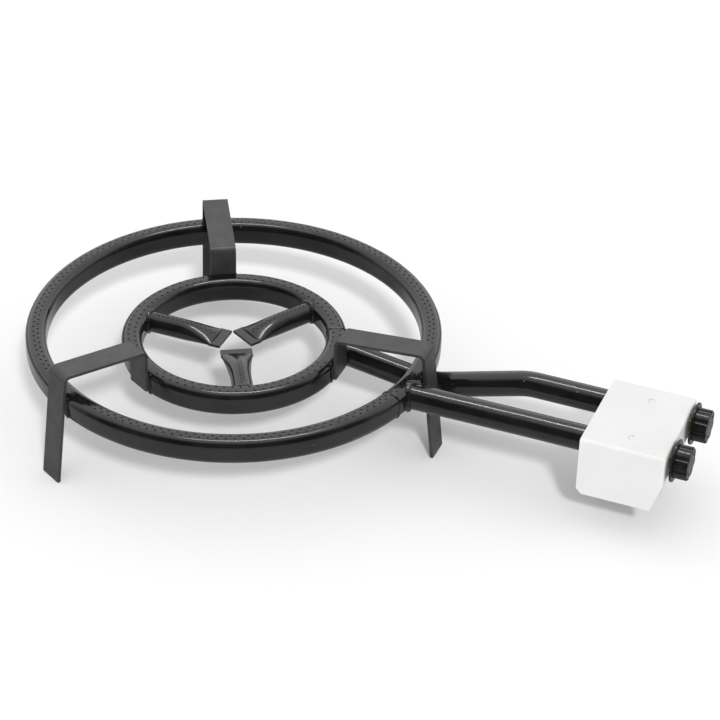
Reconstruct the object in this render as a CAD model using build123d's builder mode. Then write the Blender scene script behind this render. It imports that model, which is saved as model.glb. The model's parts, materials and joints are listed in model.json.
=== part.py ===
from build123d import *
from math import atan, cos, pi, radians, sin, sqrt, tan
import os

# A two-ring propane burner on three strap legs, fed through a valve box.
# Millimetres. The origin is on the floor under the centre of the rings,
# +X runs along the feed tubes to the valve box and +Z is up.

# Rings
outer_ring_radius = 187.5     # to the centre of the tube
inner_ring_radius = 97.5
outer_ring_height = 78.0      # centre of the tube above the floor
ring_drop = 10.5              # how much lower the inner ring sits
ring_tube_width = 19.6        # the tube is pressed square with round corners
ring_tube_height = 24.6
ring_tube_corner = 7.0
tube_wall = 1.5

# Flame ports: two staggered rows along the crown of each ring
port_diameter = 2.0
port_pitch = 8.0
outer_row_offset = 2.0        # each row from the crown line
inner_row_offset = 3.2
port_margin = 4.5             # from the last port of a finger to the ring

# Burner fingers inside the inner ring
finger_count = 3
finger_diameter = 20.0
finger_first_angle = 60.0
finger_end_gaps = (9.4, 9.4, 15.0)    # flat ends to the centre of the ring
finger_crimp_length = 9.0
finger_taper_length = 38.0
finger_port_diameter = 1.6
finger_port_pitch = 5.0
finger_row_offset = 1.2

# Legs, bent from flat bar
leg_count = 3
strap_width = 25.0
strap_thickness = 3.0
rest_height = 112.0           # top of the pan rest, at the outer bend
rest_fall = 7.0               # how much lower its inner end is
leg_splay = 6.6               # degrees from upright
strap_bend = 5.0              # at the middle of the bar
leg_tail = 6.0                # end of the inner drop below the inner ring's centre

# Feed tubes
feed_diameter = 24.0
feed_spacing = 62.0
feed_rise = 1.0               # from the outer ring to the valve box
inner_feed_start = 26.0       # sideways place where it leaves the inner ring
under_ring_gap = 1.0          # between the crossing tube and the outer ring
feed_bend = 60.0
crossing_x = 190.0            # lowest point of the inner ring's tube
climb_length = 95.0           # from there to the height of the valve box

# Valve box cover
box_rear = 361.0
box_length = 79.0
box_width = 105.0
sheet = 1.2
cover_bend = 2.8
side_depth = 59.0
front_depth = 29.0
front_slant = 10.0
corner_cut = 5.0

# Cover screws, one into each feed tube
screw_core = 3.4
screw_head = 7.0
screw_head_height = 1.5
screw_setback = 37.0          # behind the front of the cover
screw_length = 9.0

# Air windows and injectors in the ends of the feed tubes
feed_end_setback = 30.0
window_length = 12.0
window_height = 13.0
window_setback = 42.0
holder_thickness = 3.0
injector_diameter = 8.0
injector_length = 10.0
injector_bore = 1.2

# Valves, measured back from the outside of the front panel
valve_radius = 8.5
valve_front = 2.6
plug_front = 17.0
plug_length = 10.0
plug_front_radius = 5.2
plug_rear_radius = 4.2
plug_clearance = 0.05
chamber_radius = 6.0
bonnet_thickness = 3.0
push_travel = 2.5
slide_clearance = 0.3

# Stems, springs and knobs
stem_diameter = 6.0
stem_clearance = 0.06
shoulder_radius = 5.4
shoulder_thickness = 2.0
washer_thickness = 1.0
tail_radius = 2.5
tongue_width = 2.4
tongue_height = 4.6
tongue_reach = 2.0
tongue_clearance = 0.1
spring_wire = 0.8
spring_radius = 4.3           # to the middle of the wire
spring_turns = 4.0
panel_gap = 3.6               # front panel to the knob skirt
skirt_diameter = 39.5
skirt_thickness = 2.2
grip_diameter = 31.0
grip_length = 13.0
grip_lobes = 8
lobe_radius = 3.6
lobe_depth = 1.8
knob_bore_depth = 11.0

# Gas manifold and hose nozzle
manifold_diameter = 14.0
manifold_wall = 1.5
manifold_drop = 19.0          # axis below the valve axes
inlet_radius = 3.5
manifold_overhang = 9.0
nozzle_gap = 1.2              # side of the cover to the nozzle's hexagon
nozzle_hex = 17.0
nozzle_hex_length = 8.0
nozzle_bore = 5.0
nozzle_nose = 8.2             # plain end of the hose tail, in front of the barbs
nozzle_nose_length = 6.0
barb_diameter = 9.6
barb_count = 3
barb_pitch = 5.0
panel_hole_clearance = 1.5

# Values that follow from the sizes above
inner_ring_height = outer_ring_height - ring_drop
feed_height = outer_ring_height + feed_rise
half_width = ring_tube_width / 2
half_height = ring_tube_height / 2
feed_radius = feed_diameter / 2
feed_bore = feed_radius - tube_wall
box_front = box_rear + box_length
box_top = feed_height + feed_radius + sheet
box_bottom = box_top - side_depth
feed_end = box_front - feed_end_setback
stem_radius = stem_diameter / 2
screw_x = box_front - screw_setback
sides = (-1, 1)
valve_names = {-1: "outer", 1: "inner"}

os.makedirs("parts", exist_ok=True)


def save(part, name):
    part.label = name
    export_step(part, f"parts/{name}.step")


def across(x):
    """The plane square to the feed tubes at x, with +Y to its right."""
    return Plane((x, 0, 0), x_dir=(0, 1, 0), z_dir=(1, 0, 0))


def facing(angle, distance=0.0):
    """The upright plane that faces outwards at this angle, with +Z up."""
    turn = radians(angle)
    return Plane((distance * cos(turn), distance * sin(turn), 0),
                 x_dir=(-sin(turn), cos(turn), 0), z_dir=(cos(turn), sin(turn), 0))


def radial_plane(angle):
    """The upright plane through the rings' axis at this angle."""
    return Plane.XZ.rotated((0, 0, angle))


# ---------------------------------------------------------------- rings

def ring_solid(radius, height, hollow):
    """A squared tube rolled into a ring, or its outside as one solid."""
    with BuildPart() as ring:
        with BuildSketch(Plane.XZ):
            with Locations((radius, height)):
                RectangleRounded(ring_tube_width, ring_tube_height, ring_tube_corner)
                if hollow:
                    RectangleRounded(ring_tube_width - 2 * tube_wall,
                                     ring_tube_height - 2 * tube_wall,
                                     ring_tube_corner - tube_wall, mode=Mode.SUBTRACT)
        revolve(axis=Axis.Z)
    return ring.part


outer_envelope = ring_solid(outer_ring_radius, outer_ring_height, False)
inner_envelope = ring_solid(inner_ring_radius, inner_ring_height, False)

leg_angles = [360 / leg_count * n for n in range(leg_count)]
finger_angles = [finger_first_angle + 360 / finger_count * n for n in range(finger_count)]


def port_places(radius, offset, bare_angles, bare_halfwidth):
    """Polar places of both staggered rows, with none beside the welds."""
    places = []
    for side in sides:
        row_radius = radius + side * offset
        count = round(2 * pi * radius / port_pitch)
        for step in range(count):
            angle = 360 * (step + 0.25 * side) / count
            nearest = min(abs((angle - bare + 180) % 360 - 180) for bare in bare_angles)
            if radians(nearest) * radius > bare_halfwidth:
                places.append((row_radius * cos(radians(angle)), row_radius * sin(radians(angle))))
    return places


with BuildPart() as outer_ring:
    add(ring_solid(outer_ring_radius, outer_ring_height, True))
    with BuildSketch(Plane.XY.offset(outer_ring_height)):
        with Locations(*port_places(outer_ring_radius, outer_row_offset,
                                    leg_angles, strap_width / 2)):
            Circle(port_diameter / 2)
    extrude(amount=ring_tube_height, mode=Mode.SUBTRACT)
    with BuildSketch(across(outer_ring_radius * 0.97)):
        with Locations((-feed_spacing / 2, outer_ring_height)):
            Circle(feed_bore * 0.8)
    extrude(amount=ring_tube_width, mode=Mode.SUBTRACT)
save(outer_ring.part, "outer_ring")

with BuildPart() as inner_ring:
    add(ring_solid(inner_ring_radius, inner_ring_height, True))
    with BuildSketch(Plane.XY.offset(inner_ring_height)):
        with Locations(*port_places(inner_ring_radius, inner_row_offset,
                                    leg_angles, strap_width / 2)):
            Circle(port_diameter / 2)
    extrude(amount=ring_tube_height, mode=Mode.SUBTRACT)
    with BuildSketch(across(inner_ring_radius * 0.95)):
        with Locations((inner_feed_start, inner_ring_height)):
            Circle(feed_bore * 0.7)
    extrude(amount=ring_tube_width, mode=Mode.SUBTRACT)
    for angle in finger_angles:
        with BuildSketch(facing(angle)):
            with Locations((0, inner_ring_height)):
                Circle(finger_diameter / 2 - 2 * tube_wall)
        extrude(amount=inner_ring_radius, mode=Mode.SUBTRACT)
save(inner_ring.part, "inner_ring")


# ---------------------------------------------------------------- fingers

finger_radius = finger_diameter / 2
# Pressing the tube flat keeps its girth, measured at the middle of its wall.
finger_flat_width = pi * (finger_radius - tube_wall / 2) + tube_wall
finger_flat_height = 3.2 * tube_wall
# (share of the taper, half width, half height) of the sections of equal girth
finger_sections = [
    (1.0, finger_radius, finger_radius),
    (0.45, 1.19 * finger_radius, 0.79 * finger_radius),
    (0.0, finger_flat_width / 2, finger_flat_height / 2 + 0.5),
]


def finger_shape(angle, end_gap, shrink):
    """A round tube pressed flat towards the centre of the ring."""
    flat_start = end_gap + finger_crimp_length
    taper_start = flat_start + finger_taper_length
    with BuildPart() as shape:
        with BuildSketch(facing(angle, taper_start)):
            with Locations((0, inner_ring_height)):
                Circle(finger_radius - shrink)
        extrude(amount=inner_ring_radius - taper_start)
        for share, half_across, half_up in finger_sections:
            with BuildSketch(facing(angle, flat_start + share * finger_taper_length)):
                with Locations((0, inner_ring_height)):
                    Ellipse(half_across - shrink, half_up - shrink)
        loft()
    return shape.part


def finger_row(angle, end_gap):
    """Staggered port places along the top of one finger."""
    places = []
    row_start = end_gap + finger_crimp_length + finger_port_diameter
    row_end = inner_ring_radius - half_width - port_margin
    turn = radians(angle)
    for side in sides:
        reach = row_start + finger_port_pitch * (0.5 + 0.25 * side)
        while reach < row_end:
            places.append((reach * cos(turn) - side * finger_row_offset * sin(turn),
                           reach * sin(turn) + side * finger_row_offset * cos(turn)))
            reach += finger_port_pitch
    return places


for number, angle in enumerate(finger_angles, start=1):
    end_gap = finger_end_gaps[(number - 1) % len(finger_end_gaps)]
    with BuildPart() as finger:
        add(finger_shape(angle, end_gap, 0))
        with BuildSketch(facing(angle, end_gap)):
            with Locations((0, inner_ring_height)):
                RectangleRounded(finger_flat_width, 2 * tube_wall, tube_wall * 0.9)
        extrude(amount=finger_crimp_length + 2)
        add(finger_shape(angle, end_gap, tube_wall), mode=Mode.SUBTRACT)
        add(inner_envelope, mode=Mode.SUBTRACT)
        with BuildSketch(Plane.XY.offset(inner_ring_height)):
            with Locations(*finger_row(angle, end_gap)):
                Circle(finger_port_diameter / 2)
        extrude(amount=finger_diameter, mode=Mode.SUBTRACT)
    save(finger.part, f"burner_finger_{number}")


# ---------------------------------------------------------------- legs

lean = radians(leg_splay)
half_strap = strap_thickness / 2
# The bar leans against the outer ring, so its middle line passes at this
# distance from the middle of the ring's tube, measured square to the bar.
lean_reach = (
    (half_width - ring_tube_corner) * cos(lean)
    + (half_height - ring_tube_corner) * sin(lean)
    + ring_tube_corner + half_strap
)


def leg_radius(height):
    """Where the outer bar's middle line is at this height."""
    return (outer_ring_radius + lean_reach / cos(lean)
            - (height - outer_ring_height) * tan(lean))


inner_drop_radius = inner_ring_radius + half_width + half_strap
rest_middle = rest_height - half_strap
leg_outline = [
    (leg_radius(0), 0),
    (leg_radius(rest_middle), rest_middle),
    (inner_drop_radius, rest_middle - rest_fall),
    (inner_drop_radius, inner_ring_height - leg_tail),
]

for number, angle in enumerate(leg_angles, start=1):
    with BuildPart() as leg:
        with BuildSketch(radial_plane(angle)):
            with BuildLine():
                FilletPolyline(*leg_outline, radius=strap_bend)
            trace(line_width=strap_thickness)
        extrude(amount=strap_width / 2, both=True)
        split(bisect_by=Plane.XY, keep=Keep.TOP)
    save(leg.part, f"leg_{number}")


# ---------------------------------------------------------------- feed tubes

def window_cuts(side):
    """The air windows and the screw hole near the end of one feed tube."""
    centre = side * feed_spacing / 2
    with BuildPart() as cuts:
        with BuildSketch(Plane.XZ.offset(-centre)):
            with Locations((box_front - window_setback, feed_height)):
                SlotOverall(window_height, window_length * 0.7, rotation=90)
        extrude(amount=feed_diameter, both=True)
        with BuildSketch(Plane.XY.offset(feed_height)):
            with Locations((screw_x, centre)):
                Circle(screw_core / 2)
        extrude(amount=feed_diameter)
    return cuts.part


def feed_tube(points, side, keep_out):
    """A bent tube along the points, cut to sit on the ring that it feeds."""
    with BuildPart() as tube:
        with BuildLine() as route:
            FilletPolyline(*points, radius=feed_bend)
        start = Plane(route.line @ 0, z_dir=route.line % 0)
        with BuildSketch(start):
            Circle(feed_radius)
            Circle(feed_bore, mode=Mode.SUBTRACT)
        sweep()
        add(keep_out, mode=Mode.SUBTRACT)
        add(window_cuts(side), mode=Mode.SUBTRACT)
    return tube.part


outer_feed_y = -feed_spacing / 2
inner_feed_y = feed_spacing / 2
outer_joint_x = sqrt(outer_ring_radius ** 2 - outer_feed_y ** 2)
inner_joint_x = sqrt(inner_ring_radius ** 2 - inner_feed_start ** 2)
crossing_height = outer_ring_height - half_height - under_ring_gap - feed_radius
descent = crossing_x - inner_joint_x - feed_radius
fall = inner_ring_height - crossing_height
climb = feed_height - crossing_height
half_turn = (atan(fall / descent) + atan(climb / climb_length)) / 2
# The bend passes above its corner by this much.
bend_rise = feed_bend * (1 / cos(half_turn) - 1)

outer_route = [
    (outer_joint_x, outer_feed_y, outer_ring_height),
    (box_rear - feed_bend, outer_feed_y, feed_height),
    (feed_end, outer_feed_y, feed_height),
]
inner_route = [
    (inner_joint_x, inner_feed_start, inner_ring_height),
    (inner_joint_x + feed_radius, inner_feed_start, inner_ring_height),
    (crossing_x, inner_feed_y, crossing_height - bend_rise),
    (crossing_x + climb_length, inner_feed_y, feed_height),
    (feed_end, inner_feed_y, feed_height),
]
save(feed_tube(outer_route, -1, outer_envelope), "outer_feed_tube")
save(feed_tube(inner_route, 1, inner_envelope), "inner_feed_tube")


# ---------------------------------------------------------------- valve box cover

side_outline = [
    (box_rear, box_bottom + corner_cut),
    (box_rear + corner_cut, box_bottom),
    (box_front - front_slant, box_bottom),
    (box_front, box_top - front_depth),
    (box_front, box_top),
    (box_rear, box_top),
]

nozzle_x = box_front - plug_front - plug_length / 2
manifold_height = feed_height - manifold_drop


def folded_block(outline, inset):
    """The box's outside or inside, rounded where the sheet is folded."""
    with BuildPart() as block:
        with BuildSketch(Plane.XZ):
            Polygon(*outline, align=None)
        extrude(amount=box_width / 2 - inset, both=True)
        top_folds = block.edges().filter_by(Axis.X).group_by(Axis.Z)[-1]
        front_folds = block.edges().filter_by(Axis.Z).group_by(Axis.X)[-1]
        front_top = block.edges().filter_by(Axis.Y).group_by(Axis.Z)[-1].sort_by(Axis.X)[-1:]
        fillet(top_folds + front_folds + front_top, cover_bend - inset)
    return block.part


inside_outline = [
    (box_rear - sheet, box_bottom - sheet),
    (box_front - sheet, box_bottom - sheet),
    (box_front - sheet, box_top - sheet),
    (box_rear - sheet, box_top - sheet),
]

with BuildPart() as cover:
    add(folded_block(side_outline, 0))
    add(folded_block(inside_outline, sheet), mode=Mode.SUBTRACT)
    with BuildSketch(Plane.XZ):
        with Locations((box_front, box_top - front_depth)):
            Rectangle(4 * cover_bend, side_depth, align=(Align.CENTER, Align.MAX))
    extrude(amount=box_width / 2 - sheet, both=True, mode=Mode.SUBTRACT)
    with BuildSketch(Plane.XY.offset(box_top - 2 * sheet)):
        with Locations(*[(screw_x, side * feed_spacing / 2) for side in sides]):
            Circle(screw_core / 2 + slide_clearance)
    extrude(amount=3 * sheet, mode=Mode.SUBTRACT)
    with BuildSketch(across(box_front - 2 * sheet)):
        with Locations(*[(side * feed_spacing / 2, feed_height) for side in sides]):
            Circle(stem_radius + panel_hole_clearance)
    extrude(amount=3 * sheet, mode=Mode.SUBTRACT)
    with BuildSketch(Plane.XZ.offset(-box_width / 2)):
        with Locations((nozzle_x, manifold_height)):
            Circle(manifold_diameter / 2 + panel_hole_clearance)
    extrude(amount=2 * sheet, both=True, mode=Mode.SUBTRACT)
save(cover.part, "valve_box_cover")

with BuildPart() as screws:
    for side in sides:
        with BuildSketch(Plane.XZ.offset(-side * feed_spacing / 2)):
            with BuildLine():
                Polyline(
                    (screw_x, box_top - sheet - screw_length + screw_core / 2),
                    (screw_x + screw_core / 2, box_top - sheet - screw_length + screw_core),
                    (screw_x + screw_core / 2, box_top),
                    (screw_x + screw_head / 2, box_top),
                    (screw_x + screw_head / 2, box_top + screw_head_height * 0.45),
                    (screw_x + screw_head / 3, box_top + screw_head_height),
                    (screw_x, box_top + screw_head_height),
                    close=True,
                )
            make_face()
        revolve(axis=Axis((screw_x, side * feed_spacing / 2, 0), (0, 0, 1)))
    with BuildSketch(Plane.XY.offset(box_top + screw_head_height)):
        with Locations(*[(screw_x, side * feed_spacing / 2) for side in sides]):
            Rectangle(screw_head * 0.55, 0.9)
            Rectangle(0.9, screw_head * 0.55)
    extrude(amount=-1.0, mode=Mode.SUBTRACT)
save(screws.part, "cover_screws")


# ---------------------------------------------------------------- valves

body_rear = feed_end
body_front = box_front - sheet - valve_front
plug_front_x = box_front - plug_front
plug_rear_x = plug_front_x - plug_length
bonnet_rear = body_front - bonnet_thickness
shoulder_rear = bonnet_rear - shoulder_thickness
washer_rear = shoulder_rear - washer_thickness
spring_length = washer_rear - plug_front_x
skirt_rear = box_front + panel_gap
stem_front = skirt_rear + skirt_thickness + knob_bore_depth
tail_rear = plug_front_x + push_travel + slide_clearance


def turned(side, outline):
    """A solid turned about one valve's axis from (x, radius) points."""
    centre = side * feed_spacing / 2
    with BuildPart() as body:
        with BuildSketch(Plane((0, centre, feed_height), x_dir=(1, 0, 0), z_dir=(0, -1, 0))):
            with BuildLine():
                Polyline(*outline, close=True)
            make_face()
        revolve(axis=Axis((0, centre, feed_height), (1, 0, 0)))
    return body.part


for side in sides:
    name = valve_names[side]
    centre = side * feed_spacing / 2

    with BuildPart() as holder:
        add(turned(side, [
            (feed_end - holder_thickness, 0),
            (feed_end - holder_thickness, feed_bore),
            (feed_end, feed_bore),
            (feed_end, 0),
        ]))
        with BuildSketch(across(feed_end - 2 * holder_thickness)):
            with Locations((centre, feed_height)):
                Circle(injector_diameter / 2)
        extrude(amount=3 * holder_thickness, mode=Mode.SUBTRACT)
    save(holder.part, f"injector_holder_{name}")

    injector_front = feed_end + holder_thickness
    with BuildPart() as injector:
        add(turned(side, [
            (injector_front, injector_bore / 2),
            (injector_front - injector_length, injector_bore / 2),
            (injector_front - injector_length, injector_diameter / 4),
            (injector_front - injector_length * 0.7, injector_diameter / 2),
            (injector_front, injector_diameter / 2),
        ]))
    save(injector.part, f"injector_{name}")

    with BuildPart() as valve:
        add(turned(side, [
            (body_rear, 0),
            (body_rear, valve_radius),
            (body_front, valve_radius),
            (body_front, 0),
        ]))
        with BuildSketch(Plane.XY.offset(manifold_height)):
            with Locations((nozzle_x, centre)):
                Circle(inlet_radius)
        extrude(amount=manifold_drop - plug_front_radius)
        add(turned(side, [
            (body_rear - sheet, 0),
            (body_rear - sheet, injector_diameter / 2),
            (injector_front, injector_diameter / 2),
            (injector_front, plug_rear_radius - 1),
            (plug_rear_x - slide_clearance, plug_rear_radius - 1),
            (plug_rear_x - slide_clearance, plug_rear_radius + plug_clearance),
            (plug_front_x, plug_front_radius + plug_clearance),
            (plug_front_x, chamber_radius),
            (bonnet_rear, chamber_radius),
            (bonnet_rear, valve_radius - 1.5),
            (body_front + sheet, valve_radius - 1.5),
            (body_front + sheet, 0),
        ]), mode=Mode.SUBTRACT)
        with BuildSketch(Plane.XY.offset(manifold_height - 1)):
            with Locations((nozzle_x, centre)):
                Circle(inlet_radius - 1.2)
        extrude(amount=manifold_drop - plug_rear_radius, mode=Mode.SUBTRACT)
    save(valve.part, f"valve_body_{name}")

    with BuildPart() as bonnet:
        add(turned(side, [
            (bonnet_rear, stem_radius + stem_clearance),
            (bonnet_rear, valve_radius - 1.5),
            (body_front, valve_radius - 1.5),
            (body_front + 1.0, valve_radius - 2.5),
            (body_front + 1.0, stem_radius + stem_clearance),
        ]))
    save(bonnet.part, f"valve_bonnet_{name}")

    with BuildPart() as plug:
        add(turned(side, [
            (plug_rear_x, 1.5),
            (plug_rear_x, plug_rear_radius),
            (plug_front_x, plug_front_radius),
            (plug_front_x, 0),
            (plug_front_x - plug_length * 0.55, 0),
            (plug_front_x - plug_length * 0.55, 1.5),
        ]))
        with BuildSketch(across(plug_front_x)):
            with Locations((centre, feed_height)):
                Rectangle(tongue_width + 2 * tongue_clearance,
                          tongue_height + 2 * tongue_clearance)
        extrude(amount=-(tongue_reach + push_travel + slide_clearance), mode=Mode.SUBTRACT)
        with BuildSketch(Plane.XZ.offset(-centre)):
            with Locations((plug_rear_x + plug_length * 0.28, feed_height)):
                Circle(1.5)
        extrude(amount=plug_front_radius + 1, mode=Mode.SUBTRACT)
    save(plug.part, f"valve_plug_{name}")

    with BuildPart() as washer:
        add(turned(side, [
            (washer_rear, tail_radius + slide_clearance),
            (washer_rear, shoulder_radius),
            (shoulder_rear, shoulder_radius),
            (shoulder_rear, tail_radius + slide_clearance),
        ]))
    save(washer.part, f"thrust_washer_{name}")

    with BuildPart() as stem:
        add(turned(side, [
            (tail_rear, 0),
            (tail_rear, tail_radius),
            (shoulder_rear, tail_radius),
            (shoulder_rear, shoulder_radius),
            (bonnet_rear, shoulder_radius),
            (bonnet_rear, stem_radius),
            (stem_front, stem_radius),
            (stem_front, 0),
        ]))
        with BuildSketch(across(plug_front_x - tongue_reach)):
            with Locations((centre, feed_height)):
                Rectangle(tongue_width, tongue_height)
        extrude(amount=tail_rear + tongue_width - plug_front_x + tongue_reach)
        with BuildSketch(across(skirt_rear + skirt_thickness)):
            with Locations((centre, feed_height + stem_radius)):
                Rectangle(stem_diameter, stem_radius)
        extrude(amount=knob_bore_depth, mode=Mode.SUBTRACT)
    save(stem.part, f"valve_stem_{name}")

    coil_pitch = (spring_length - spring_wire) / spring_turns
    with BuildPart() as spring:
        with BuildLine() as coil:
            Helix(coil_pitch, coil_pitch * spring_turns, spring_radius,
                  center=(plug_front_x + spring_wire / 2, centre, feed_height),
                  direction=(1, 0, 0))
        with BuildSketch(Plane(coil.line @ 0, z_dir=coil.line % 0)):
            Circle(spring_wire / 2)
        sweep()
    save(spring.part, f"valve_spring_{name}")

    knob_plane = Plane((skirt_rear, centre, feed_height), x_dir=(0, 1, 0), z_dir=(1, 0, 0))
    with BuildPart() as knob:
        with BuildSketch(knob_plane):
            Circle(skirt_diameter / 2)
        extrude(amount=skirt_thickness)
        fillet(knob.edges(), skirt_thickness * 0.3)
        with BuildSketch(knob_plane.offset(skirt_thickness)):
            Circle(grip_diameter / 2)
            with PolarLocations(grip_diameter / 2 + lobe_radius - lobe_depth, grip_lobes):
                Circle(lobe_radius, mode=Mode.SUBTRACT)
        extrude(amount=grip_length)
        chamfer(knob.faces().sort_by(Axis.X)[-1].edges(), 0.8)
        with BuildSketch(knob_plane.offset(-1)):
            Circle(stem_radius)
        extrude(amount=skirt_thickness + 1, mode=Mode.SUBTRACT)
        with BuildSketch(knob_plane.offset(skirt_thickness)):
            Circle(stem_radius)
            with Locations((0, stem_radius)):
                Rectangle(stem_diameter, stem_radius, mode=Mode.SUBTRACT)
        extrude(amount=knob_bore_depth, mode=Mode.SUBTRACT)
    save(knob.part, f"knob_{name}")


# ---------------------------------------------------------------- manifold

manifold_start = -feed_spacing / 2 - manifold_overhang
manifold_end = feed_spacing / 2 + manifold_overhang
manifold_radius = manifold_diameter / 2
manifold_bore = manifold_radius - manifold_wall
pipe_start = Plane((nozzle_x, manifold_start, manifold_height),
                   x_dir=(1, 0, 0), z_dir=(0, 1, 0))

with BuildPart() as manifold:
    with BuildSketch(pipe_start):
        Circle(manifold_radius)
        Circle(manifold_bore, mode=Mode.SUBTRACT)
    extrude(amount=manifold_end - manifold_start)
    with BuildSketch(Plane.XY.offset(manifold_height)):
        with Locations(*[(nozzle_x, side * feed_spacing / 2) for side in sides]):
            Circle(inlet_radius)
    extrude(amount=manifold_diameter, mode=Mode.SUBTRACT)
save(manifold.part, "gas_manifold")

with BuildPart() as end_cap:
    with BuildSketch(pipe_start.offset(-sheet)):
        Circle(manifold_radius)
    extrude(amount=sheet)
    with BuildSketch(pipe_start):
        Circle(manifold_bore)
    extrude(amount=2 * manifold_wall)
save(end_cap.part, "manifold_end_cap")

nozzle_start = pipe_start.offset(manifold_end - manifold_start)
hex_start = box_width / 2 + nozzle_gap
neck_length = hex_start - manifold_end

with BuildPart() as nozzle:
    with BuildSketch(nozzle_start.offset(-2 * manifold_wall)):
        Circle(manifold_bore)
    extrude(amount=2 * manifold_wall)
    with BuildSketch(nozzle_start):
        Circle(manifold_radius)
    extrude(amount=neck_length)
    with BuildSketch(nozzle_start.offset(neck_length)):
        RegularPolygon(nozzle_hex / 2, 6, major_radius=False)
    extrude(amount=nozzle_hex_length)
    for ring in range(barb_count):
        barb_start = neck_length + nozzle_hex_length + ring * barb_pitch
        with BuildSketch(nozzle_start.offset(barb_start)):
            Circle(barb_diameter / 2)
        with BuildSketch(nozzle_start.offset(barb_start + barb_pitch)):
            Circle(nozzle_nose / 2)
        loft()
    nose_start = neck_length + nozzle_hex_length + barb_count * barb_pitch
    with BuildSketch(nozzle_start.offset(nose_start)):
        Circle(nozzle_nose / 2)
    extrude(amount=nozzle_nose_length)
    with BuildSketch(nozzle_start.offset(-3 * manifold_wall)):
        Circle(nozzle_bore / 2)
    extrude(amount=4 * box_width, mode=Mode.SUBTRACT)
save(nozzle.part, "hose_nozzle")
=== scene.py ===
import json
import math

import bmesh
import bpy
from mathutils import Matrix, Vector, noise


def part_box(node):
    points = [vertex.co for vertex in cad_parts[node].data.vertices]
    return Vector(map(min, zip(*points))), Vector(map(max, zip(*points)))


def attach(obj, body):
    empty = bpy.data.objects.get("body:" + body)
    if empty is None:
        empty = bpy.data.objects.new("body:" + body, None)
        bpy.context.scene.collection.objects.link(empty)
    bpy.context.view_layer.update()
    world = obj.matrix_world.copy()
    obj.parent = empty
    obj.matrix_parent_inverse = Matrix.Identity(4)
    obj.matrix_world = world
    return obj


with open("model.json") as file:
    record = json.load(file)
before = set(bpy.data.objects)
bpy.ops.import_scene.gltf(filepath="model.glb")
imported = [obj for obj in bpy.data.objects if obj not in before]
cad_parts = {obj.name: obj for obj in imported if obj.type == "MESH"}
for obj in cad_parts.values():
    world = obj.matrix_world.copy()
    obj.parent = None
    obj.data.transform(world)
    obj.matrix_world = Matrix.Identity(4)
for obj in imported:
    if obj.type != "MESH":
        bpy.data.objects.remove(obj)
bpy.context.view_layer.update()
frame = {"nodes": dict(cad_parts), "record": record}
nodes = frame["nodes"]
scene = bpy.context.scene

# A two-ring gas burner on three strap legs, with a white valve box.
# Metres, in the CAD frame: the origin is on the floor under the rings' centre.

MM = 0.001
sides = {"outer": -1, "inner": 1}
leg_angles = (0, 120, 240)
finger_angles = (60, 180, 300)


# ---------------------------------------------------------------- sizes from the frame

def ring_section(node):
    """(radius, height, half width, half height) of a ring's tube."""
    reach = [math.hypot(v.co.x, v.co.y) for v in nodes[node].data.vertices]
    low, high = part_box(node)
    return ((max(reach) + min(reach)) / 2, (high.z + low.z) / 2,
            (max(reach) - min(reach)) / 2, (high.z - low.z) / 2)


def middle(node):
    low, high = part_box(node)
    return (low + high) / 2


outer_ring = ring_section("outer_ring")
inner_ring = ring_section("inner_ring")
feed_radius = 12.0 * MM
finger_radius = 10.0 * MM


# ---------------------------------------------------------------- node helpers

def new_material(name):
    material = bpy.data.materials.new(name)
    material.use_nodes = True
    tree = material.node_tree
    tree.nodes.clear()
    output = tree.nodes.new("ShaderNodeOutputMaterial")
    shader = tree.nodes.new("ShaderNodeBsdfPrincipled")
    tree.links.new(shader.outputs["BSDF"], output.inputs["Surface"])
    return material, tree, shader


def place(tree):
    """The object's own coordinates, which are the CAD frame in metres."""
    return tree.nodes.new("ShaderNodeTexCoord").outputs["Object"]


def noise_field(tree, scale, detail=3.0, rough=0.5, stretch=None):
    field = tree.nodes.new("ShaderNodeTexNoise")
    field.inputs["Scale"].default_value = scale
    field.inputs["Detail"].default_value = detail
    field.inputs["Roughness"].default_value = rough
    source = place(tree)
    if stretch:
        mapping = tree.nodes.new("ShaderNodeMapping")
        mapping.inputs["Scale"].default_value = stretch
        tree.links.new(source, mapping.inputs["Vector"])
        source = mapping.outputs["Vector"]
    tree.links.new(source, field.inputs["Vector"])
    return field.outputs["Fac"]


def spread(tree, value, low, high, start=0.3, end=0.7):
    """Maps a field from start..end to low..high."""
    node = tree.nodes.new("ShaderNodeMapRange")
    node.inputs["From Min"].default_value = start
    node.inputs["From Max"].default_value = end
    node.inputs["To Min"].default_value = low
    node.inputs["To Max"].default_value = high
    tree.links.new(value, node.inputs["Value"])
    return node.outputs["Result"]


def colour_sockets(node):
    """The two colour inputs of a Mix node, which share their names with others."""
    return [socket for socket in node.inputs if socket.type == "RGBA"]


def two_tone(tree, value, first, second):
    """Mixes two colours, given as numbers or as sockets, by a 0..1 field."""
    node = tree.nodes.new("ShaderNodeMix")
    node.data_type = "RGBA"
    tree.links.new(value, node.inputs["Factor"])
    for socket, colour in zip(colour_sockets(node), (first, second)):
        if isinstance(colour, tuple):
            socket.default_value = (*colour, 1.0)
        else:
            tree.links.new(colour, socket)
    return [socket for socket in node.outputs if socket.type == "RGBA"][0]


def bumps(tree, shader, *layers):
    """Chains (height field, distance in metres) layers into the normal."""
    normal = None
    for field, distance in layers:
        bump = tree.nodes.new("ShaderNodeBump")
        bump.inputs["Strength"].default_value = 1.0
        bump.inputs["Distance"].default_value = distance
        tree.links.new(field, bump.inputs["Height"])
        if normal:
            tree.links.new(normal, bump.inputs["Normal"])
        normal = bump.outputs["Normal"]
    tree.links.new(normal, shader.inputs["Normal"])
    return normal


# ---------------------------------------------------------------- materials

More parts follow.
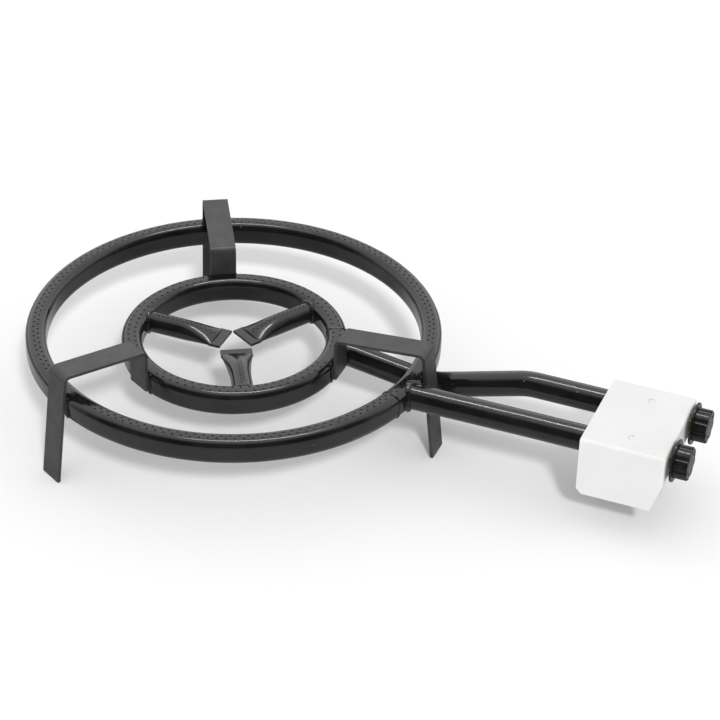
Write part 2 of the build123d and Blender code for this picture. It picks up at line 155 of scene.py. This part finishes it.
def black_enamel():
    """Glossy stove enamel, slightly wavy, with fine pale dust on it."""
    material, tree, shader = new_material("black_enamel")
    blotch = spread(tree, noise_field(tree, 45.0), 0.0, 1.0)
    coat = two_tone(tree, blotch, (0.0035, 0.0035, 0.004), (0.010, 0.010, 0.011))
    specks = tree.nodes.new("ShaderNodeTexVoronoi")
    specks.inputs["Scale"].default_value = 120.0
    tree.links.new(place(tree), specks.inputs["Vector"])
    speck = spread(tree, specks.outputs["Distance"], 1.0, 0.0, 0.035, 0.05)
    rare = spread(tree, noise_field(tree, 160.0, 1.0), 0.0, 1.0, 0.62, 0.66)
    both = tree.nodes.new("ShaderNodeMath")
    both.operation = "MULTIPLY"
    tree.links.new(speck, both.inputs[0])
    tree.links.new(rare, both.inputs[1])
    colour = two_tone(tree, both.outputs["Value"], coat, (0.5, 0.5, 0.48))
    tree.links.new(colour, shader.inputs["Base Color"])
    smooth = spread(tree, noise_field(tree, 90.0, 4.0), 0.12, 0.24)
    tree.links.new(smooth, shader.inputs["Roughness"])
    shader.inputs["Coat Weight"].default_value = 0.25
    shader.inputs["Coat Roughness"].default_value = 0.06
    bumps(tree, shader,
          (noise_field(tree, 70.0, 2.0), 0.25 * MM),
          (noise_field(tree, 700.0, 3.0), 0.03 * MM))
    return material


def black_strap():
    """Satin black paint over rolled flat bar."""
    material, tree, shader = new_material("black_strap")
    blotch = spread(tree, noise_field(tree, 60.0, 5.0), 0.0, 1.0)
    colour = two_tone(tree, blotch, (0.030, 0.030, 0.031), (0.048, 0.048, 0.049))
    tree.links.new(colour, shader.inputs["Base Color"])
    smooth = spread(tree, noise_field(tree, 140.0, 5.0), 0.34, 0.48)
    tree.links.new(smooth, shader.inputs["Roughness"])
    bumps(tree, shader,
          (noise_field(tree, 50.0, 2.0), 0.2 * MM),
          (noise_field(tree, 1300.0, 4.0), 0.035 * MM))
    return material


def white_paint():
    """White stove paint on folded sheet, with a faint orange peel."""
    material, tree, shader = new_material("white_paint")
    blotch = spread(tree, noise_field(tree, 25.0, 4.0), 0.0, 1.0)
    colour = two_tone(tree, blotch, (0.75, 0.75, 0.745), (0.79, 0.79, 0.785))
    tree.links.new(colour, shader.inputs["Base Color"])
    smooth = spread(tree, noise_field(tree, 110.0, 4.0), 0.30, 0.42)
    tree.links.new(smooth, shader.inputs["Roughness"])
    bumps(tree, shader,
          (noise_field(tree, 30.0, 2.0), 0.12 * MM),
          (noise_field(tree, 900.0, 2.0), 0.02 * MM))
    return material


def metal(name, dark, bright, rough, grain, stretch=None):
    """Bare or plated metal with turning marks along its grain."""
    material, tree, shader = new_material(name)
    shader.inputs["Metallic"].default_value = 1.0
    tone = spread(tree, noise_field(tree, grain, 5.0, 0.6, stretch), 0.0, 1.0)
    tree.links.new(two_tone(tree, tone, dark, bright), shader.inputs["Base Color"])
    smooth = spread(tree, noise_field(tree, grain * 2, 4.0, 0.6, stretch), rough, rough + 0.15)
    tree.links.new(smooth, shader.inputs["Roughness"])
    bumps(tree, shader, (noise_field(tree, grain * 4, 3.0, 0.5, stretch), 0.02 * MM))
    return material


def black_plastic():
    """Moulded glossy black plastic."""
    material, tree, shader = new_material("black_plastic")
    blotch = spread(tree, noise_field(tree, 200.0, 3.0), 0.0, 1.0)
    colour = two_tone(tree, blotch, (0.006, 0.006, 0.006), (0.014, 0.014, 0.014))
    tree.links.new(colour, shader.inputs["Base Color"])
    smooth = spread(tree, noise_field(tree, 350.0, 3.0), 0.14, 0.26)
    tree.links.new(smooth, shader.inputs["Roughness"])
    shader.inputs["Specular IOR Level"].default_value = 0.35
    bumps(tree, shader, (noise_field(tree, 1500.0, 2.0), 0.015 * MM))
    return material


def dial_print():
    """Silver-grey foil on the front of a knob."""
    material, tree, shader = new_material("dial_print")
    blotch = spread(tree, noise_field(tree, 900.0, 3.0), 0.0, 1.0)
    colour = two_tone(tree, blotch, (0.62, 0.62, 0.62), (0.85, 0.85, 0.85))
    tree.links.new(colour, shader.inputs["Base Color"])
    shader.inputs["Metallic"].default_value = 0.3
    shader.inputs["Roughness"].default_value = 0.3
    bumps(tree, shader, (noise_field(tree, 2500.0, 2.0), 0.01 * MM))
    return material


def floor_white():
    material, tree, shader = new_material("floor_white")
    blotch = spread(tree, noise_field(tree, 1.5, 2.0), 0.0, 1.0)
    pale = two_tone(tree, blotch, (0.90, 0.90, 0.90), (0.91, 0.91, 0.91))
    # Painted reflection: seen in gloss, the floor's colour is painted dark, and darker away from
    # the middle
    away = tree.nodes.new("ShaderNodeVectorMath")
    away.operation = "LENGTH"
    tree.links.new(place(tree), away.inputs[0])
    far = spread(tree, away.outputs["Value"], mirror_dim_near, 1.0, *mirror_dim_radii)
    path = tree.nodes.new("ShaderNodeLightPath")
    painted_reflection_mask = tree.nodes.new("ShaderNodeMath")
    painted_reflection_mask.operation = "MULTIPLY"
    tree.links.new(far, painted_reflection_mask.inputs[0])
    tree.links.new(path.outputs["Is Glossy Ray"], painted_reflection_mask.inputs[1])
    colour = two_tone(tree, painted_reflection_mask.outputs["Value"], pale, painted_reflection_dark)
    tree.links.new(colour, shader.inputs["Base Color"])
    shader.inputs["Roughness"].default_value = 0.9
    shader.inputs["Specular IOR Level"].default_value = 0.0
    return material


finishes = {
    "black_enamel": black_enamel(),
    "black_strap": black_strap(),
    "white_paint": white_paint(),
    "zinc_steel": metal("zinc_steel", (0.42, 0.43, 0.44), (0.62, 0.62, 0.62), 0.28, 300.0),
    "spring_steel": metal("spring_steel", (0.35, 0.35, 0.36), (0.5, 0.5, 0.5), 0.2, 600.0),
    "brass": metal("brass", (0.55, 0.36, 0.10), (0.78, 0.56, 0.20), 0.16, 500.0, (8.0, 1.0, 1.0)),
    "black_plastic": black_plastic(),
}
dial_finish = dial_print()


def paint_cad():
    """Each CAD node takes the finish of its material slot in the record."""
    for part in frame["record"]["subparts"]:
        data = nodes[part["node"]].data
        data.materials.clear()
        data.materials.append(finishes[part["material_slot"]])


# ---------------------------------------------------------------- pieces

def finish_piece(mesh, name, material, body):
    """Makes the mesh an object that rides on a body."""
    data = bpy.data.meshes.new(name)
    mesh.normal_update()
    mesh.to_mesh(data)
    mesh.free()
    for polygon in data.polygons:
        polygon.use_smooth = True
    data.materials.append(material)
    piece = bpy.data.objects.new(name, data)
    scene.collection.objects.link(piece)
    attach(piece, body)
    return piece


bead_radius = 3.0 * MM
bead_ripple = 0.14 * MM
bead_pitch = 2.6 * MM
bead_lump = 0.30                # share of the bead's radius
bead_lump_scale = 150.0
bead_sides = 14
bead_step = 0.5 * MM


def resample(points, closed, step):
    """Evenly spaced points along a line of points."""
    line = points + points[:1] if closed else points
    lengths = [(b - a).length for a, b in zip(line, line[1:])]
    count = max(3, round(sum(lengths) / step))
    spaced, index, passed = [], 0, 0.0
    for number in range(count if closed else count + 1):
        target = sum(lengths) * number / count
        while index < len(lengths) - 1 and passed + lengths[index] < target:
            passed += lengths[index]
            index += 1
        spaced.append(line[index].lerp(line[index + 1], (target - passed) / lengths[index]))
    return spaced


def weld_bead(name, points, closed, radius=bead_radius, seed=0.0):
    """A lumpy rippled bead of weld metal along a line of points."""
    line = resample(points, closed, bead_step)
    mesh = bmesh.new()
    loops = []
    last = len(line) - 1
    for number, point in enumerate(line):
        before = line[number - 1] if closed or number else point
        after = line[(number + 1) % len(line)] if closed or number < last else point
        along = (after - before).normalized()
        side = along.cross(Vector((0, 0, 1)))
        if side.length < 0.1:
            side = along.cross(Vector((1, 0, 0)))
        side.normalize()
        up = side.cross(along)
        run = number * bead_step
        ripple = bead_ripple * abs(math.sin(math.pi * run / bead_pitch + seed))
        end = 1.0 if closed else min(1.0, 0.35 + min(number, last - number) * 0.16)
        loop = []
        for corner in range(bead_sides):
            angle = 2 * math.pi * corner / bead_sides
            away = side * math.cos(angle) + up * math.sin(angle)
            lump = noise.noise((point + away * radius) * bead_lump_scale + Vector((seed, 0, 0)))
            reach = radius * (end + bead_lump * lump) + ripple
            loop.append(mesh.verts.new(point + away * reach))
        loops.append(loop)
    pairs = list(zip(loops, loops[1:] + loops[:1])) if closed else list(zip(loops, loops[1:]))
    for first, second in pairs:
        for corner in range(bead_sides):
            following = (corner + 1) % bead_sides
            mesh.faces.new((first[corner], first[following], second[following], second[corner]))
    if not closed:
        mesh.faces.new(loops[0][::-1])
        mesh.faces.new(loops[-1])
    bmesh.ops.recalc_face_normals(mesh, faces=mesh.faces)
    return finish_piece(mesh, name, finishes["black_enamel"], "root")


ring_corner = 7.0 * MM


def ring_half_width(ring, rise):
    """Half the width of the ring's squared tube at this rise from its middle."""
    past = max(0.0, abs(rise) - (ring[3] - ring_corner))
    return ring[2] - ring_corner + math.sqrt(max(0.0, ring_corner ** 2 - past ** 2))


circle_steps = 72
finger_weld_radius = 2.2 * MM


def feed_weld(name, ring, tube_y, seed):
    """The bead where a feed tube along X meets the outside of a ring."""
    points = []
    for step in range(circle_steps):
        turn = 2 * math.pi * step / circle_steps
        y = tube_y + feed_radius * math.cos(turn)
        rise = feed_radius * math.sin(turn)
        reach = ring[0] + ring_half_width(ring, rise)
        points.append(Vector((math.sqrt(reach ** 2 - y ** 2), y, ring[1] + rise)))
    weld_bead(name, points, True, seed=seed)


def finger_weld(name, angle, seed):
    """The bead where a finger meets the inside of the inner ring."""
    turned = Matrix.Rotation(math.radians(angle), 3, "Z")
    points = []
    for step in range(circle_steps):
        turn = 2 * math.pi * step / circle_steps
        across = finger_radius * math.cos(turn)
        rise = finger_radius * math.sin(turn)
        reach = inner_ring[0] - ring_half_width(inner_ring, rise)
        along = math.sqrt(reach ** 2 - across ** 2)
        points.append(turned @ Vector((along, across, inner_ring[1] + rise)))
    weld_bead(name, points, True, finger_weld_radius, seed)


strap_width = 25.0 * MM
leg_weld_radius = 1.3 * MM
leg_weld_half = 11.0 * MM       # half its height
leg_weld_sink = 0.3 * MM        # how far its middle line sits in the ring
leg_weld_steps = 12


def leg_weld(name, ring, angle, side, seed):
    """The upright bead in the corner between a ring and one edge of a leg."""
    turned = Matrix.Rotation(math.radians(angle), 3, "Z")
    across = side * strap_width / 2
    points = []
    for step in range(leg_weld_steps + 1):
        rise = leg_weld_half * (2 * step / leg_weld_steps - 1)
        reach = ring[0] + ring_half_width(ring, rise) - leg_weld_sink
        along = math.sqrt(reach ** 2 - across ** 2)
        points.append(turned @ Vector((along, across, ring[1] + rise)))
    weld_bead(name, points, False, leg_weld_radius, seed)


seam_radius = 1.4 * MM
seam_depth = 0.9 * MM


def seam_weld(name, ring, angle, seed):
    """The bead round a ring's tube where its two ends are joined."""
    turned = Matrix.Rotation(math.radians(angle), 3, "Z")
    points = []
    for step in range(circle_steps):
        turn = 2 * math.pi * step / circle_steps
        rise = (ring[3] - seam_depth) * math.sin(turn)
        side = 1 if math.cos(turn) > 0 else -1
        reach = ring[0] + side * max(0.0, ring_half_width(ring, rise) - seam_depth)
        points.append(turned @ Vector((reach, 0, ring[1] + rise)))
    weld_bead(name, points, True, seam_radius, seed)


def all_welds():
    feed_weld("weld_outer_feed", outer_ring, middle("outer_feed_tube").y, 0.3)
    inner_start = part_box("inner_feed_tube")[0].y + feed_radius
    feed_weld("weld_inner_feed", inner_ring, inner_start, 1.1)
    for number, angle in enumerate(finger_angles, start=1):
        finger_weld(f"weld_finger_{number}", angle, 2.0 + number)
    for number, angle in enumerate(leg_angles, start=1):
        for ring_name, ring in (("outer", outer_ring), ("inner", inner_ring)):
            for side, hand in ((-1, "right"), (1, "left")):
                leg_weld(f"weld_leg_{number}_{ring_name}_{hand}", ring, angle, side,
                         5.0 + number * 1.7 + side)
    seam_weld("weld_outer_ring_seam", outer_ring, -16.0, 9.0)
    seam_weld("weld_inner_ring_seam", inner_ring, 27.0, 10.0)


# Dial marks, set level with the front of each knob
dial_ring_radius = 9.2 * MM
dial_ring_width = 1.1 * MM
dial_thickness = 0.25 * MM
dial_sides = 64
merge_distance = 1e-7
dial_cap_radius = 6.2 * MM
tick_length = 2.6 * MM
tick_width = 0.7 * MM
tick_angles = (-60, -30, 0, 30, 60, 90, 120, 150, 180, 210, 240)
pointer_length = 5.0 * MM
pointer_width = 1.6 * MM


def slab(mesh, outline, front, thickness):
    """Extrudes an outline of (y, z) points back from x = front."""
    faces = []
    for x in (front, front - thickness):
        faces.append([mesh.verts.new((x, y, z)) for y, z in outline])
    mesh.faces.new(faces[0])
    mesh.faces.new(faces[1][::-1])
    for index, vertex in enumerate(faces[0]):
        after = (index + 1) % len(outline)
        mesh.faces.new((faces[0][after], vertex, faces[1][index], faces[1][after]))


def radial_bar(centre, angle, inner, outer, width):
    """A bar across a dial, from the inner to the outer radius."""
    turn = math.radians(angle)
    out = Vector((math.cos(turn), math.sin(turn)))
    side = Vector((-out.y, out.x)) * width / 2
    return [centre + out * inner - side, centre + out * outer - side,
            centre + out * outer + side, centre + out * inner + side]


def dial(name):
    """The foil ring, ticks and pointer on the front of one knob."""
    low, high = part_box(f"knob_{name}")
    centre = Vector(((low.y + high.y) / 2, (low.z + high.z) / 2))
    front = high.x
    mesh = bmesh.new()
    for angle in tick_angles:
        slab(mesh, radial_bar(centre, angle, dial_ring_radius + dial_ring_width,
                              dial_ring_radius + dial_ring_width + tick_length, tick_width),
             front, dial_thickness)
    outer, inner = [], []
    for step in range(dial_sides):
        turn = 2 * math.pi * step / dial_sides
        out = Vector((math.cos(turn), math.sin(turn)))
        outer.append(centre + out * (dial_ring_radius + dial_ring_width))
        inner.append(centre + out * dial_ring_radius)
    for step in range(dial_sides):
        after = (step + 1) % dial_sides
        slab(mesh, [inner[step], outer[step], outer[after], inner[after]], front, dial_thickness)
    slab(mesh, radial_bar(centre, 90, dial_cap_radius - pointer_length, dial_cap_radius,
                          pointer_width), front, dial_thickness)
    bmesh.ops.remove_doubles(mesh, verts=mesh.verts, dist=merge_distance)
    bmesh.ops.recalc_face_normals(mesh, faces=mesh.faces)
    piece = finish_piece(mesh, f"dial_{name}", dial_finish, f"knob_{name}")
    for polygon in piece.data.polygons:
        polygon.use_smooth = False


# ---------------------------------------------------------------- stage

floor_radius = 14.0
floor_sides = 96
floor_drop = 0.5 * MM           # so that the feet don't share its surface

# Painted reflection: seen in gloss, the floor's colour is painted darker, and darkest from the
# second of these radii on
mirror_dim_near = 0.45
mirror_dim_radii = (0.25, 1.1)
painted_reflection_dark = (0.10, 0.10, 0.10)

ceiling_light = (1.15, 1.15, 1.15)
dark_side = (0.05, 0.05, 0.05)
dark_side_edges = (-0.10, 0.30)     # how far towards the camera it starts and is full
ceiling_edges = (0.78, 0.93)        # how high it ends and the ceiling is full
fill_low = (0.34, 0.34, 0.34)
fill_high = (1.06, 1.06, 1.06)

light_target = Vector((0.12, 0, 0.05))
light_distance = 2.0
key_strength = 1.5
key_spread = math.radians(7.0)
key_direction = (34, 43)        # degrees: azimuth, elevation
strip_power = 9.0
strip_length = 0.95
strip_width = 0.10
strip_direction = (201, 77)

camera_azimuth = math.radians(21.107)
camera_elevation = math.radians(34.055)
camera_distance = 2.371
camera_target = Vector((0.127, 0.005, 0.078))
camera_roll = math.radians(1.523)
camera_lens = 126.29


def towards(azimuth, elevation):
    """The direction that looks back along a view at these angles."""
    return Vector((math.sin(azimuth) * math.cos(elevation),
                   -math.cos(azimuth) * math.cos(elevation), math.sin(elevation)))


def make_camera():
    data = bpy.data.cameras.new("camera")
    data.lens = camera_lens
    data.sensor_width = 36.0
    data.clip_start = 0.05
    data.clip_end = 60.0
    camera = bpy.data.objects.new("camera", data)
    scene.collection.objects.link(camera)
    back = towards(camera_azimuth, camera_elevation)
    level = Vector((0, 0, 1)).cross(back).normalized()
    upward = back.cross(level)
    right = level * math.cos(camera_roll) + upward * math.sin(camera_roll)
    up = back.cross(right)
    turn = Matrix((right, up, back)).transposed().to_4x4()
    camera.matrix_world = Matrix.Translation(camera_target + back * camera_distance) @ turn
    scene.camera = camera


def make_floor():
    mesh = bmesh.new()
    bmesh.ops.create_circle(mesh, cap_ends=True, radius=floor_radius, segments=floor_sides)
    data = bpy.data.meshes.new("floor")
    mesh.to_mesh(data)
    mesh.free()
    data.materials.append(floor_white())
    floor = bpy.data.objects.new("floor", data)
    floor.location.z = -floor_drop
    scene.collection.objects.link(floor)


def room_in_gloss(tree, direction):
    """What gloss mirrors: a bright ceiling and back, with a dark side at the camera."""
    split = tree.nodes.new("ShaderNodeSeparateXYZ")
    tree.links.new(direction, split.inputs["Vector"])
    facing = tree.nodes.new("ShaderNodeVectorMath")
    facing.operation = "DOT_PRODUCT"
    facing.inputs[1].default_value = towards(camera_azimuth, 0.0)
    tree.links.new(direction, facing.inputs[0])
    front = spread(tree, facing.outputs["Value"], 0.0, 1.0, *dark_side_edges)
    low = spread(tree, split.outputs["Z"], 1.0, 0.0, *ceiling_edges)
    dark = tree.nodes.new("ShaderNodeMath")
    dark.operation = "MULTIPLY"
    tree.links.new(front, dark.inputs[0])
    tree.links.new(low, dark.inputs[1])
    return two_tone(tree, dark.outputs["Value"], ceiling_light, dark_side)


def make_world():
    """Even light for matt surfaces, a studio in gloss, and white where it is seen."""
    world = bpy.data.worlds.new("studio")
    scene.world = world
    world.use_nodes = True
    tree = world.node_tree
    tree.nodes.clear()
    output = tree.nodes.new("ShaderNodeOutputWorld")
    direction = tree.nodes.new("ShaderNodeTexCoord").outputs["Generated"]
    path = tree.nodes.new("ShaderNodeLightPath")
    studio = tree.nodes.new("ShaderNodeBackground")
    tree.links.new(room_in_gloss(tree, direction), studio.inputs["Color"])
    fill = tree.nodes.new("ShaderNodeBackground")
    split = tree.nodes.new("ShaderNodeSeparateXYZ")
    tree.links.new(direction, split.inputs["Vector"])
    overhead = spread(tree, split.outputs["Z"], 0.0, 1.0, 0.0, 1.0)
    tree.links.new(two_tone(tree, overhead, fill_low, fill_high), fill.inputs["Color"])
    seen = tree.nodes.new("ShaderNodeBackground")
    seen.inputs["Color"].default_value = (1, 1, 1, 1)
    shader = fill.outputs["Background"]
    for kind, other in (("Is Glossy Ray", studio), ("Is Camera Ray", seen)):
        chosen = tree.nodes.new("ShaderNodeMixShader")
        tree.links.new(path.outputs[kind], chosen.inputs["Fac"])
        tree.links.new(shader, chosen.inputs[1])
        tree.links.new(other.outputs["Background"], chosen.inputs[2])
        shader = chosen.outputs["Shader"]
    tree.links.new(shader, output.inputs["Surface"])


def add_light(data, azimuth, elevation):
    """Puts a light out in this direction, facing the middle of the burner."""
    light = bpy.data.objects.new(data.name, data)
    scene.collection.objects.link(light)
    back = towards(math.radians(azimuth), math.radians(elevation))
    light.location = light_target + back * light_distance
    light.rotation_euler = back.to_track_quat("Z", "Y").to_euler()
    return light


def make_lights():
    """A key near the camera, for the shadows, and a strip that only gloss mirrors."""
    key = bpy.data.lights.new("key", "SUN")
    key.energy = key_strength
    key.angle = key_spread
    add_light(key, *key_direction).visible_glossy = False
    strip = bpy.data.lights.new("strip", "AREA")
    strip.shape = "RECTANGLE"
    strip.size = strip_length
    strip.size_y = strip_width
    strip.energy = strip_power
    add_light(strip, *strip_direction).visible_diffuse = False


# ---------------------------------------------------------------- make everything

make_camera()
make_world()
make_lights()
make_floor()
paint_cad()
all_welds()
for valve in sides:
    dial(valve)

scene.view_settings.view_transform = "Standard"
